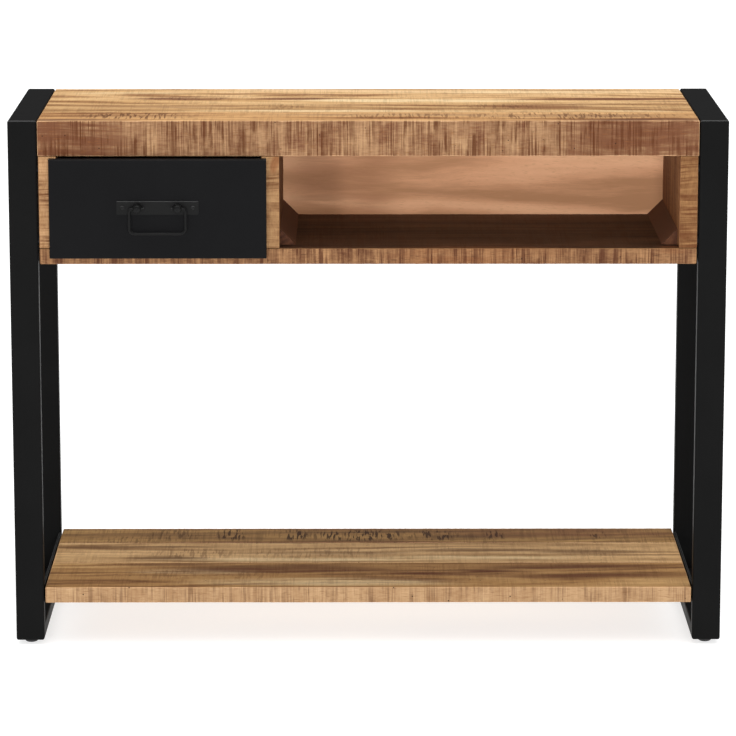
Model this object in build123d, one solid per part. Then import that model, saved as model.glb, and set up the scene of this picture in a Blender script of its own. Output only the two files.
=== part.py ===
from build123d import *
import os

# Console table: two steel side frames carry a wooden box with one drawer and a low wooden shelf.
# Millimetres. X runs along the table, +Y points to its back, +Z is up. The origin is on the
# floor, under the middle of the table's outer box. Depths count back from the frames' front.

# Overall size
WIDTH = 1000
DEPTH = 350
HEIGHT = 750

# Side frames: mitred rectangular steel tube, its wide face to the front
TUBE_WIDE = 40
TUBE_NARROW = 20
TUBE_WALL = 1.5
TUBE_EDGE_RADIUS = 3
FRAME_INNER_X = WIDTH / 2 - TUBE_WIDE

# Levelling feet: a plastic pad on an M8 stud, screwed into a nut inside the bottom rail
FOOT_HEIGHT = 7
FOOT_PAD_RADIUS = 10
FOOT_PAD_GAP = 0.2
FOOT_PAD_EDGE = 4.5
FOOT_STUD_RADIUS = 4
FOOT_STUD_TOP = 24
FOOT_STUD_CHAMFER = 1
FOOT_HOLE_CLEARANCE = 0.5
FOOT_NUT_RADIUS = 7
FOOT_NUT_HEIGHT = 6
FOOT_THREAD_CLEARANCE = 0.05

# Hexagonal sockets of the screws, as shares of the head's radius and height
SOCKET_WIDTH = 0.5
SOCKET_DEPTH = 0.6

# Wooden box between the frames
BOX_GAP = 2
BOX_HALF = FRAME_INNER_X - BOX_GAP
TOP_HALF = FRAME_INNER_X - 1
BOARD = 25
TOP_THICK = 50
BOTTOM_THICK = 23
BOX_BOTTOM = 548
FLOOR_Z = BOX_BOTTOM + BOTTOM_THICK
CEILING_Z = HEIGHT - TOP_THICK
TOP_SEAMS = (0, 90, 183, 257, DEPTH)
PLANK_EDGE_RADIUS = 1
BOTTOM_CORNER_RADIUS = 6
DIVIDER_LEFT_X = -148.5
BACK_DEPTH = (300, 312)
GROOVE = 6
CORNER_STRIP = 22
CORNER_STRIP_START = 30

# Dowels that join the boards of the box
DOWEL_RADIUS = 4
DOWEL_HALF_LENGTH = 16
DOWEL_DEPTHS = (60, 150, 240)

# Bolts from the box, through a spacer, into nuts inside the legs; their heads are sunk in the walls
BOLT_RADIUS = 3
BOLT_HEAD = (6, 3)
BOLT_SINK = 4.5
BOLT_SINK_RADIUS = 6.5
BOLT_HEIGHTS = (582, 682)
BOLT_DEPTHS = (TUBE_NARROW / 2, DEPTH - TUBE_NARROW / 2)
BOLT_NUT = (5.5, 5)
BOLT_STICKOUT = 1
SPACER_RADIUS = 8
BOLT_CLEARANCE = 0.25

# Low shelf: three planks on a steel angle at each end
SHELF_BOTTOM = 61
SHELF_TOP = 84
SHELF_SEAMS = (0, 142, 261, DEPTH)
ANGLE_LEG = 25
ANGLE_SHEET = 3
SHELF_SCREW_PLACES = (0.3, 0.65)
SHELF_SCREW_INSET = 11.5
SHELF_SCREW_GRIP = 15
WOOD_SCREW_RADIUS = 2
WOOD_SCREW_HEAD = (4, 2.5)

# Drawer front: a folded steel pan over a wooden core, laid over the front of the box
FRONT_X = (-443, -141.5)
FRONT_Z = (558.5, 697.5)
FRONT_THICK = 12
FRONT_GAP = 1
PAN_SHEET = 1.2
PAN_BEND = 1.6

# Drawer box and its ball-bearing runners
RUNNER_SPACE = 12.7
DRAWER_BOARD = 12
DRAWER_Z = (583, 683)
DRAWER_REAR = 281
DRAWER_BOTTOM_Z = (591, 596)
DRAWER_SCREW_HEIGHTS = (603, 671)
DRAWER_SCREW_GRIP = 20
FRONT_SCREW_X = (-90, 90)
FRONT_SCREW_HEIGHTS = (608, 658)
FRONT_SCREW_SKIN = 4
RUNNER_Z = 633
RUNNER_DEPTH = (5, 255)
RUNNER_SHEET = 1.2
RUNNER_SCREW_DEPTHS = (40, 130, 220)
RUNNER_SCREW = (1.75, 3.2, 1.6)
WALL_SCREW_GRIP = 14
SIDE_SCREW_GRIP = 10
CAGE_DEPTH = (80, 180)
CAGE_HALF_SHEET = 0.4
BALL_RADIUS = 1.6
BALLS_PER_ROW = 8

# Runner members: where the web starts, where the flanges start and end, and half the height
RUNNER_OUTER = (0, 0, 9.5, 22.5)
RUNNER_MIDDLE = (5.4, 5.4, 10.5, 17.1)
RUNNER_INNER = (RUNNER_SPACE - RUNNER_SHEET, 7.6, RUNNER_SPACE, 11.5)

# Ball rows: where the strip starts and ends, the balls' centres, and the rows' distance from the middle
OUTER_CAGE = (2.4, 8.4, 4.4, 19.3)
INNER_CAGE = (6.9, 10.3, 9.0, 13.7)

# Handle: a back plate, two drilled posts, and a wire bail that swings in them
HANDLE_X = sum(FRONT_X) / 2
HANDLE_Z = 630
PLATE_WIDTH = 114
PLATE_HEIGHT = 19
PLATE_THICK = 1.5
PLATE_CORNER = 1.5
POST_SPACING = 56
POST_LENGTH = 14
POST_NECK = (3.5, 4)
POST_HEAD_RADIUS = 6
POST_DOME = 4
POST_SHANK = (2.5, 9)
BAIL_RADIUS = 2
BAIL_CLEARANCE = 0.08
BAIL_WIDTH = 78
BAIL_DROP = 35
BAIL_END = 19
BAIL_PROUD = 9
BAIL_TOP_BEND = 4.5
BAIL_LOW_BEND = 8
PLATE_RIVET_SPACING = 98
PLATE_RIVET = (1.5, 3, 1.2)
PLATE_RIVET_GRIP = 5

# The handle's posts stand furthest forward, so they place the frame's front plane
PROUD = FRONT_GAP + FRONT_THICK + PLATE_THICK + POST_LENGTH
FRONT_Y = (PROUD - DEPTH) / 2

# Faces that follow from the sizes above
WALL_X = BOX_HALF - BOARD
DIVIDER_X = (DIVIDER_LEFT_X, DIVIDER_LEFT_X + BOARD)
FRONT_DEPTH = (-FRONT_GAP - FRONT_THICK, -FRONT_GAP)
DRAWER_X = (-WALL_X + RUNNER_SPACE, DIVIDER_LEFT_X - RUNNER_SPACE)
PLATE_DEPTH = (FRONT_DEPTH[0] - PLATE_THICK, FRONT_DEPTH[0])
RUNNER_WALLS = {"left": (-WALL_X, 1), "right": (DIVIDER_LEFT_X, -1)}
SIDES = {"left": -1, "right": 1}


def place(x, depth, z):
    """A point from its X, its depth behind the frames' front plane, and its height."""
    return Vector(x, FRONT_Y + depth, z)


def block(x, depth, z):
    """A box between (low, high) pairs along X, depth and height."""
    size = (x[1] - x[0], depth[1] - depth[0], z[1] - z[0])
    return Pos(*place(x[0], depth[0], z[0])) * Box(*size, align=(Align.MIN, Align.MIN, Align.MIN))


def rod(start, end, radius):
    """A round bar between two (x, depth, z) points."""
    axis = place(*end) - place(*start)
    plane = Plane(origin=place(*start), z_dir=axis)
    return plane * Cylinder(radius, axis.length, align=(Align.CENTER, Align.CENTER, Align.MIN))


def prism(outline, x):
    """A prism with an outline of (depth, z) points, between two X values."""
    face = Plane.YZ.offset(x[0]) * Polygon(*[(FRONT_Y + depth, z) for depth, z in outline], align=None)
    return extrude(face, x[1] - x[0], dir=(1, 0, 0))


def screw(seat, tip, shank_radius, head_radius, head_height):
    """A socket-head screw whose head sits on the seat point and whose shank ends at the tip."""
    direction = (place(*tip) - place(*seat)).normalized()
    step = direction * head_height
    head_top = (seat[0] - step.X, seat[1] - step.Y, seat[2] - step.Z)
    body = rod(seat, tip, shank_radius) + rod(seat, head_top, head_radius)
    socket = extrude(RegularPolygon(head_radius * SOCKET_WIDTH, 6), head_height * SOCKET_DEPTH)
    return body - Plane(origin=place(*head_top), z_dir=direction) * socket


def drilled(board, *groups):
    """The board with a seat cut in it for every piece of each group."""
    for group in groups:
        for piece in group:
            board -= piece
    return board


# ---- Side frames ----

def frame_corners(inset):
    """The (depth, z) corners of a side frame's rectangle, moved inwards by the inset."""
    low, high = FOOT_HEIGHT + inset, HEIGHT - inset
    front, rear = inset, DEPTH - inset
    return [(front, low), (front, high), (rear, high), (rear, low)]


def frame_bar(side, number, outer_inset, inner_inset, half_width):
    """A mitred bar along one side of the frame's rectangle, with a plain section."""
    outer, inner = frame_corners(outer_inset), frame_corners(inner_inset)
    follow = (number + 1) % 4
    middle = SIDES[side] * (WIDTH - TUBE_WIDE) / 2
    outline = [outer[number], outer[follow], inner[follow], inner[number]]
    return prism(outline, (middle - half_width, middle + half_width))


def frame_tube(side, number):
    """A mitred tube: 0 is the front leg, 1 the top rail, 2 the rear leg, 3 the bottom rail."""
    tube = frame_bar(side, number, 0, TUBE_NARROW, TUBE_WIDE / 2)
    along = Axis.Z if number % 2 == 0 else Axis.Y
    tube = fillet(tube.edges().filter_by(along), TUBE_EDGE_RADIUS)
    return tube - frame_bar(side, number, TUBE_WALL, TUBE_NARROW - TUBE_WALL, TUBE_WIDE / 2 - TUBE_WALL)


def shelf_angle(side, screws):
    """The steel angle that is welded between the legs and carries one end of the shelf."""
    depth = (TUBE_NARROW, DEPTH - TUBE_NARROW)
    outer = FRAME_INNER_X + ANGLE_SHEET
    upright = sorted((SIDES[side] * FRAME_INNER_X, SIDES[side] * outer))
    ledge = sorted((SIDES[side] * (outer - ANGLE_LEG), SIDES[side] * outer))
    angle = block(upright, depth, (SHELF_BOTTOM - ANGLE_SHEET, SHELF_BOTTOM - ANGLE_SHEET + ANGLE_LEG))
    angle += block(ledge, depth, (SHELF_BOTTOM - ANGLE_SHEET, SHELF_BOTTOM))
    return drilled(angle, screws)


# ---- Levelling feet ----

def foot_place(side, end):
    """X and depth of a levelling foot."""
    depth = TUBE_NARROW if end == "front" else DEPTH - TUBE_NARROW
    return SIDES[side] * (WIDTH - TUBE_WIDE) / 2, depth


def foot(side, end):
    """A domed pad moulded on a threaded stud."""
    x, depth = foot_place(side, end)
    pad_top = FOOT_HEIGHT - FOOT_PAD_GAP
    pad = rod((x, depth, 0), (x, depth, pad_top), FOOT_PAD_RADIUS)
    pad = fillet(pad.edges().group_by(Axis.Z)[0], FOOT_PAD_EDGE)
    stud = rod((x, depth, pad_top), (x, depth, FOOT_STUD_TOP), FOOT_STUD_RADIUS)
    return pad + chamfer(stud.edges().group_by(Axis.Z)[-1], FOOT_STUD_CHAMFER)


def foot_nut(side, end):
    """The threaded nut that is welded inside the bottom rail over a foot."""
    x, depth = foot_place(side, end)
    low = FOOT_HEIGHT + TUBE_WALL
    high = low + FOOT_NUT_HEIGHT
    bore = rod((x, depth, low), (x, depth, high), FOOT_STUD_RADIUS + FOOT_THREAD_CLEARANCE)
    return rod((x, depth, low), (x, depth, high), FOOT_NUT_RADIUS) - bore


def foot_hole(side, end):
    """The hole in the bottom rail's lower wall that the foot's stud passes."""
    x, depth = foot_place(side, end)
    return rod((x, depth, 0), (x, depth, FOOT_HEIGHT + TUBE_WALL), FOOT_STUD_RADIUS + FOOT_HOLE_CLEARANCE)


# ---- Hardware of the box and the shelf ----

def bolt_places():
    """Side, depth and height of every bolt between the box and the legs."""
    return [(side, depth, z) for side in SIDES for depth in BOLT_DEPTHS for z in BOLT_HEIGHTS]


def carcass_bolt(side, depth, z):
    """A bolt from inside the box into a leg."""
    reach = FRAME_INNER_X + TUBE_WALL + BOLT_NUT[1] + BOLT_STICKOUT
    seat, tip = SIDES[side] * (WALL_X + BOLT_SINK), SIDES[side] * reach
    return screw((seat, depth, z), (tip, depth, z), BOLT_RADIUS, *BOLT_HEAD)


def bolt_sink(side, depth, z):
    """The recess in a wall of the box that a bolt's head lies in."""
    near, far = SIDES[side] * WALL_X, SIDES[side] * (WALL_X + BOLT_SINK)
    return rod((near, depth, z), (far, depth, z), BOLT_SINK_RADIUS)


def bolt_ring(side, depth, z, start, length, outer, inner):
    """A ring round a bolt, from a distance out from the table's middle."""
    near, far = SIDES[side] * start, SIDES[side] * (start + length)
    return rod((near, depth, z), (far, depth, z), outer) - rod((near, depth, z), (far, depth, z), inner)


def bolt_hole(side, depth, z):
    """The hole for a bolt through the inner wall of a leg."""
    near, far = SIDES[side] * FRAME_INNER_X, SIDES[side] * (FRAME_INNER_X + TUBE_WALL)
    return rod((near, depth, z), (far, depth, z), BOLT_RADIUS + BOLT_CLEARANCE)


def carcass_dowels():
    """Dowels between the upright boards of the box and its top and bottom."""
    middles = (-WALL_X - BOARD / 2, sum(DIVIDER_X) / 2, WALL_X + BOARD / 2)
    joints = (FLOOR_Z, CEILING_Z)
    places = [(x, depth, z) for x in middles for depth in DOWEL_DEPTHS for z in joints]
    return [rod((x, d, z - DOWEL_HALF_LENGTH), (x, d, z + DOWEL_HALF_LENGTH), DOWEL_RADIUS)
            for x, d, z in places]


def shelf_screws():
    """Screws up through the angles into the shelf's planks."""
    x = FRAME_INNER_X - SHELF_SCREW_INSET
    screws = []
    for front, rear in zip(SHELF_SEAMS, SHELF_SEAMS[1:]):
        for share in SHELF_SCREW_PLACES:
            depth = front + share * (rear - front)
            for sign in SIDES.values():
                seat = (sign * x, depth, SHELF_BOTTOM - ANGLE_SHEET)
                tip = (sign * x, depth, SHELF_BOTTOM + SHELF_SCREW_GRIP)
                screws.append(screw(seat, tip, WOOD_SCREW_RADIUS, *WOOD_SCREW_HEAD))
    return screws


# ---- Boards ----

def plank(half_length, depth, z):
    """A plank along the table with its long top edges eased."""
    board = block((-half_length, half_length), depth, z)
    return fillet(board.edges().filter_by(Axis.X).group_by(Axis.Z)[-1], PLANK_EDGE_RADIUS)


def bottom_board():
    """The box's bottom board, with its lower end corners rounded."""
    board = block((-BOX_HALF, BOX_HALF), (0, DEPTH), (BOX_BOTTOM, FLOOR_Z))
    return fillet(board.edges().filter_by(Axis.Y).group_by(Axis.Z)[0], BOTTOM_CORNER_RADIUS)


def back_panel():
    """The thin back, which sits in grooves all round."""
    half = WALL_X + GROOVE
    return block((-half, half), BACK_DEPTH, (FLOOR_Z - GROOVE, CEILING_Z + GROOVE))


def corner_strip(wall_x, inward):
    """A triangular strip glued in the corner between the compartment's floor and a wall."""
    points = [(0, 0), (inward * CORNER_STRIP, 0), (0, CORNER_STRIP)]
    face = Plane.XZ * Polygon(*points, align=None)
    length = BACK_DEPTH[0] - CORNER_STRIP_START
    return Pos(*place(wall_x, CORNER_STRIP_START, FLOOR_Z)) * extrude(face, length, dir=(0, 1, 0))


# ---- Drawer ----

def drawer_front_pan():
    """The folded steel face of the drawer, open at its back."""
    pan = block(FRONT_X, FRONT_DEPTH, FRONT_Z)
    front_edges = pan.edges().group_by(Axis.Y)[0]
    pan = fillet(front_edges, PAN_BEND)
    return pan - drawer_front_core()


def drawer_front_core():
    """The board that fills the pan."""
    x = (FRONT_X[0] + PAN_SHEET, FRONT_X[1] - PAN_SHEET)
    z = (FRONT_Z[0] + PAN_SHEET, FRONT_Z[1] - PAN_SHEET)
    return block(x, (FRONT_DEPTH[0] + PAN_SHEET, FRONT_DEPTH[1]), z)


def drawer_boards():
    """The drawer's two sides, its inner front, its back and its bottom, by name."""
    left, right = DRAWER_X
    across = (left + DRAWER_BOARD, right - DRAWER_BOARD)
    rear = (DRAWER_REAR - DRAWER_BOARD, DRAWER_REAR)
    front = (-FRONT_GAP, DRAWER_BOARD - FRONT_GAP)
    panel = (left + GROOVE, right - GROOVE)
    return {
        "drawer_left_side": block((left, across[0]), (-FRONT_GAP, DRAWER_REAR), DRAWER_Z),
        "drawer_right_side": block((across[1], right), (-FRONT_GAP, DRAWER_REAR), DRAWER_Z),
        "drawer_inner_front": block(across, front, DRAWER_Z),
        "drawer_back": block(across, rear, DRAWER_Z),
        "drawer_bottom": block(panel, (front[0] + GROOVE, rear[1] - GROOVE), DRAWER_BOTTOM_Z),
    }


def drawer_box_screws():
    """Screws from the drawer's sides into its inner front and back."""
    screws = []
    for side_x, inward in ((DRAWER_X[0], 1), (DRAWER_X[1], -1)):
        for depth in (DRAWER_BOARD / 2 - FRONT_GAP, DRAWER_REAR - DRAWER_BOARD / 2):
            for z in DRAWER_SCREW_HEIGHTS:
                tip = (side_x + inward * (DRAWER_BOARD + DRAWER_SCREW_GRIP), depth, z)
                screws.append(screw((side_x, depth, z), tip, WOOD_SCREW_RADIUS, *WOOD_SCREW_HEAD))
    return screws


def drawer_front_screws():
    """Screws from inside the drawer into the core of its front."""
    places = [(HANDLE_X + x, z) for x in FRONT_SCREW_X for z in FRONT_SCREW_HEIGHTS]
    seat, tip = DRAWER_BOARD - FRONT_GAP, FRONT_DEPTH[0] + FRONT_SCREW_SKIN
    return [screw((x, seat, z), (x, tip, z), WOOD_SCREW_RADIUS, *WOOD_SCREW_HEAD) for x, z in places]


# ---- Runners ----

def runner_block(side, across, z, depth=RUNNER_DEPTH):
    """A bar of a runner; across counts from the carcass wall towards the drawer."""
    wall, inward = RUNNER_WALLS[side]
    return block(sorted(wall + inward * reach for reach in across), depth, z)


def runner_channel(side, web, near, far, half_height):
    """A C-section runner member, whose flanges run from near to far."""
    low, high = RUNNER_Z - half_height, RUNNER_Z + half_height
    flange = (near, far)
    member = runner_block(side, (web, web + RUNNER_SHEET), (low, high))
    member += runner_block(side, flange, (high - RUNNER_SHEET, high))
    return member + runner_block(side, flange, (low, low + RUNNER_SHEET))


def runner_cage(side, near, far, ball_reach, row_height):
    """The two ball rows between a pair of runner members, each row on its own strip."""
    wall, inward = RUNNER_WALLS[side]
    pitch = (CAGE_DEPTH[1] - CAGE_DEPTH[0]) / BALLS_PER_ROW
    rows = []
    for z in (RUNNER_Z - row_height, RUNNER_Z + row_height):
        row = runner_block(side, (near, far), (z - CAGE_HALF_SHEET, z + CAGE_HALF_SHEET), CAGE_DEPTH)
        for number in range(BALLS_PER_ROW):
            depth = CAGE_DEPTH[0] + (number + 0.5) * pitch
            turn = Rot(0, 0, 90 - 90 * inward)
            row += Pos(*place(wall + inward * ball_reach, depth, z)) * turn * Sphere(BALL_RADIUS)
        rows.append(row)
    return rows


def runner_screws(seat_reach, tip_reach):
    """Screws through the webs of one pair of runner members."""
    screws = []
    for wall, inward in RUNNER_WALLS.values():
        for depth in RUNNER_SCREW_DEPTHS:
            seat = (wall + inward * seat_reach, depth, RUNNER_Z)
            tip = (wall + inward * tip_reach, depth, RUNNER_Z)
            screws.append(screw(seat, tip, *RUNNER_SCREW))
    return screws


# ---- Handle ----

def handle_plate():
    """The flat plate behind the handle's posts."""
    x = (HANDLE_X - PLATE_WIDTH / 2, HANDLE_X + PLATE_WIDTH / 2)
    plate = block(x, PLATE_DEPTH, (HANDLE_Z - PLATE_HEIGHT / 2, HANDLE_Z + PLATE_HEIGHT / 2))
    return fillet(plate.edges().filter_by(Axis.Y), PLATE_CORNER)


def handle_post(x):
    """A drilled post with a domed head; its shank passes into the drawer's front."""
    base = PLATE_DEPTH[0]
    neck_end, tip = base - POST_NECK[1], base - POST_LENGTH
    head = rod((x, neck_end, HANDLE_Z), (x, tip, HANDLE_Z), POST_HEAD_RADIUS)
    head = fillet(head.edges().group_by(Axis.Y)[0], POST_DOME)
    post = head + rod((x, base, HANDLE_Z), (x, neck_end, HANDLE_Z), POST_NECK[0])
    post += rod((x, base, HANDLE_Z), (x, base + POST_SHANK[1], HANDLE_Z), POST_SHANK[0])
    wire = base - BAIL_PROUD
    reach = 2 * POST_HEAD_RADIUS
    return post - rod((x - reach, wire, HANDLE_Z), (x + reach, wire, HANDLE_Z), BAIL_RADIUS + BAIL_CLEARANCE)


def handle_bail():
    """The bent wire that hangs in the two posts."""
    half = BAIL_WIDTH / 2
    corners = [(-BAIL_END, 0), (-half, 0), (-half, -BAIL_DROP), (half, -BAIL_DROP), (half, 0), (BAIL_END, 0)]
    bends = [BAIL_TOP_BEND, BAIL_LOW_BEND, BAIL_LOW_BEND, BAIL_TOP_BEND]
    path = Plane.XZ * FilletPolyline(*corners, radius=bends)
    section = Plane(origin=(-BAIL_END, 0, 0), z_dir=(-1, 0, 0)) * Circle(BAIL_RADIUS)
    wire = sweep(section, path=path.wire())
    return Pos(*place(HANDLE_X, PLATE_DEPTH[0] - BAIL_PROUD, HANDLE_Z)) * wire


def plate_rivets():
    """The small rivets at the two ends of the handle's plate."""
    seat, tip = PLATE_DEPTH[0], PLATE_DEPTH[1] + PLATE_RIVET_GRIP
    places = [HANDLE_X - PLATE_RIVET_SPACING / 2, HANDLE_X + PLATE_RIVET_SPACING / 2]
    return [screw((x, seat, HANDLE_Z), (x, tip, HANDLE_Z), *PLATE_RIVET) for x in places]


# ---- Assembly ----

def side_frames(screws):
    """Both side frames with their shelf angles and the nuts for the feet."""
    parts = {}
    for side in SIDES:
        bolt_holes = [bolt_hole(*at) for at in bolt_places() if at[0] == side]
        foot_holes = [foot_hole(side, end) for end in ("front", "rear")]
        parts[side + "_front_leg"] = drilled(frame_tube(side, 0), bolt_holes)
        parts[side + "_top_rail"] = frame_tube(side, 1)
        parts[side + "_rear_leg"] = drilled(frame_tube(side, 2), bolt_holes)
        parts[side + "_bottom_rail"] = drilled(frame_tube(side, 3), foot_holes)
        parts[side + "_shelf_angle"] = shelf_angle(side, screws)
        for end in ("front", "rear"):
            parts["foot_" + end + "_" + side] = foot(side, end)
    parts["foot_nuts"] = [foot_nut(side, end) for side in SIDES for end in ("front", "rear")]
    return parts


def wooden_box(wall_screws):
    """The boards of the box, its hardware, and the bolts that hang it on the frames."""
    bolts = [carcass_bolt(*at) for at in bolt_places()]
    sinks = [bolt_sink(*at) for at in bolt_places()]
    dowels = carcass_dowels()
    back = back_panel()
    upright = (FLOOR_Z, CEILING_Z)
    parts = {
        "box_left_panel": block((-BOX_HALF, -WALL_X), (0, DEPTH), upright),
        "box_right_panel": block((WALL_X, BOX_HALF), (0, DEPTH), upright),
        "box_divider": block(DIVIDER_X, (0, BACK_DEPTH[0]), upright),
        "box_bottom_board": bottom_board(),
    }
    names = ("front", "front_middle", "rear_middle", "rear")
    for name, front, rear in zip(names, TOP_SEAMS, TOP_SEAMS[1:]):
        parts["top_plank_" + name] = plank(TOP_HALF, (front, rear), (CEILING_Z, HEIGHT))
    for name in parts:
        parts[name] = drilled(parts[name], bolts, sinks, dowels, wall_screws, [back])
    parts["box_back_panel"] = back
    parts["compartment_strip_left"] = corner_strip(DIVIDER_X[1], 1)
    parts["compartment_strip_right"] = corner_strip(WALL_X, -1)
    parts["box_dowels"] = dowels
    parts["box_bolts"] = bolts
    spacer = (FRAME_INNER_X - BOX_GAP, BOX_GAP, SPACER_RADIUS, BOLT_RADIUS + BOLT_CLEARANCE)
    parts["box_spacers"] = [bolt_ring(*at, *spacer) for at in bolt_places()]
    nut = (FRAME_INNER_X + TUBE_WALL, BOLT_NUT[1], BOLT_NUT[0], BOLT_RADIUS)
    parts["box_nuts"] = [bolt_ring(*at, *nut) for at in bolt_places()]
    return parts


def shelf(screws):
    """The low shelf's planks and screws."""
    parts = {}
    for name, front, rear in zip(("front", "middle", "rear"), SHELF_SEAMS, SHELF_SEAMS[1:]):
        board = plank(BOX_HALF, (front, rear), (SHELF_BOTTOM, SHELF_TOP))
        parts["shelf_plank_" + name] = drilled(board, screws)
    parts["shelf_screws"] = screws
    return parts


def drawer(side_screws):
    """The drawer's front, box and screws."""
    rivets = plate_rivets()
    front_screws = drawer_front_screws()
    box_screws = drawer_box_screws()
    posts = [handle_post(HANDLE_X + sign * POST_SPACING / 2) for sign in SIDES.values()]
    parts = drawer_boards()
    bottom = parts["drawer_bottom"]
    for name in parts:
        if name != "drawer_bottom":
            parts[name] = drilled(parts[name], box_screws, front_screws, side_screws, [bottom])
    parts["drawer_front_pan"] = drilled(drawer_front_pan(), rivets, posts)
    parts["drawer_front_core"] = drilled(drawer_front_core(), rivets, posts, front_screws)
    parts["drawer_front_screws"] = front_screws
    parts["drawer_box_screws"] = box_screws
    parts["handle_plate"] = drilled(handle_plate(), rivets, posts)
    parts["handle_rivets"] = rivets
    parts["handle_posts"] = posts
    parts["handle_bail"] = handle_bail()
    return parts


def runners(wall_screws, side_screws):
    """The three members of both runners, their ball rows and their screws."""
    parts = {}
    for side in RUNNER_WALLS:
        parts["runner_outer_" + side] = drilled(runner_channel(side, *RUNNER_OUTER), wall_screws)
        parts["runner_middle_" + side] = runner_channel(side, *RUNNER_MIDDLE)
        parts["runner_inner_" + side] = drilled(runner_channel(side, *RUNNER_INNER), side_screws)
        parts["runner_outer_cage_" + side] = runner_cage(side, *OUTER_CAGE)
        parts["runner_inner_cage_" + side] = runner_cage(side, *INNER_CAGE)
    parts["runner_wall_screws"] = wall_screws
    parts["runner_drawer_screws"] = side_screws
    return parts


def main():
    """Build every piece and write one STEP file for each node."""
    wall_screws = runner_screws(RUNNER_SHEET, -WALL_SCREW_GRIP)
    side_screws = runner_screws(RUNNER_SPACE - RUNNER_SHEET, RUNNER_SPACE + SIDE_SCREW_GRIP)
    under_screws = shelf_screws()
    parts = side_frames(under_screws)
    parts.update(wooden_box(wall_screws))
    parts.update(shelf(under_screws))
    parts.update(drawer(side_screws))
    parts.update(runners(wall_screws, side_screws))
    os.makedirs("parts", exist_ok=True)
    for node, shape in parts.items():
        if isinstance(shape, list):
            shape = Compound(children=shape)
        export_step(shape, "parts/" + node + ".step")


main()
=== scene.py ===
import logging
import math
from dataclasses import dataclass, field
from enum import Enum, IntEnum

import bpy
import numpy as np
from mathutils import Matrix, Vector


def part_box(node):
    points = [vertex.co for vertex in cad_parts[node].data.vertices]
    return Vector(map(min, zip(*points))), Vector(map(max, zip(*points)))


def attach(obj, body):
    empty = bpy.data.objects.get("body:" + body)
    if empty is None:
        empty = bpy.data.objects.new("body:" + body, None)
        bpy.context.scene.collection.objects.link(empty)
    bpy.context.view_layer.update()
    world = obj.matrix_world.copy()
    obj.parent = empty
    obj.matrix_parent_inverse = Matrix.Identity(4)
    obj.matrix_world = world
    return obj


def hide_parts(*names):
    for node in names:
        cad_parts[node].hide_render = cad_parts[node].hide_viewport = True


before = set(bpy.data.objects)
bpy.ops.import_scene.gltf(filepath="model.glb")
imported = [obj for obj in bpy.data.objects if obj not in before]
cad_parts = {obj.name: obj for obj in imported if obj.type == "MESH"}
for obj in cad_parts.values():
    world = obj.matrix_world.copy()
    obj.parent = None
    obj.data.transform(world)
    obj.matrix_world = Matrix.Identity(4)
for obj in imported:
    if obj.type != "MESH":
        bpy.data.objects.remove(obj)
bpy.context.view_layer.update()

LOG = logging.getLogger("console_table")
TABLE = "table"
MM = 0.001
# The frames' front plane, from which depths count back.
FRONT_Y = float(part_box("left_front_leg")[0][1])
# The sockets of a colour Mix node: its two colours and its result.
MIX_A, MIX_B, MIX_OUT = 6, 7, 2
# The material's four-dimensional noise, so that each board can have a seed of its own.
SEEDED = {"noise_dimensions": "4D"}
SMOOTH = {"interpolation_type": "SMOOTHSTEP"}
COLOURS = {"data_type": "RGBA"}
# How deep the saw's strokes go into a plank's faces and long edges, in millimetres.
SAW_TEETH = 0.3
# Brings the wear on the middle of an eased edge to about 1.
EDGE_GAIN = 3.4
SOCKET = bpy.types.NodeSocket
TREE = bpy.types.NodeTree


class Grain(Enum):
    """The way a board's fibres run, as the order of X, Y and Z that puts them first."""

    ALONG_TABLE = (0, 1, 2)
    FRONT_TO_BACK = (1, 0, 2)
    UPRIGHT = (2, 1, 0)


class Layer(IntEnum):
    """The wood's noise layers, each a step away from the board's own seed."""

    WAVE = 0
    BROAD = 1
    STREAK = 2
    FIBRE = 3
    RINGS = 4
    FINE_STROKE = 5
    BOLD_STROKE = 6
    PATCHY = 7
    DASH = 8
    BLOTCH = 9
    EDGE_FIBRE = 10
    PORES = 11
    KERF = 12


def linear(colour: str) -> tuple[float, float, float, float]:
    """Turns an sRGB hex colour such as "#c9a26b" into linear RGBA.

    Args:
        colour: The colour, as six hex digits after a hash.

    Returns:
        Red, green, blue and alpha from 0 to 1, linear.
    """
    parts = [int(colour[i:i + 2], 16) / 255 for i in (1, 3, 5)]
    light = [v / 12.92 if v <= 0.04045 else ((v + 0.055) / 1.055) ** 2.4 for v in parts]
    return (light[0], light[1], light[2], 1.0)


def per_mm(size: float) -> float:
    """The texture scale, in metres, at which a pattern's cell is this many millimetres."""
    return 1000 / size


def add_node(tree: TREE, kind: str, settings: dict | None = None,
             links: dict | None = None) -> bpy.types.Node:
    """Adds a shader node with its settings, and feeds its inputs.

    Args:
        tree: The material's node tree.
        kind: The node's type without its "ShaderNode" start.
        settings: Properties of the node.
        links: Inputs by name or number, each a value or another node's output.

    Returns:
        The new node.
    """
    made = tree.nodes.new("ShaderNode" + kind)
    for key, value in (settings or {}).items():
        setattr(made, key, value)
    for key, value in (links or {}).items():
        if isinstance(value, SOCKET):
            tree.links.new(value, made.inputs[key])
        else:
            made.inputs[key].default_value = value
    return made


def new_material(name: str) -> tuple[bpy.types.Material, TREE, bpy.types.Node]:
    """Makes a material with a Principled shader.

    Args:
        name: The material's name.

    Returns:
        The material, its node tree and its Principled node.
    """
    made = bpy.data.materials.new(name)
    made.use_nodes = True
    tree = made.node_tree
    return made, tree, tree.nodes["Principled BSDF"]


# ---------------------------------------------------------------- finishes


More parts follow.
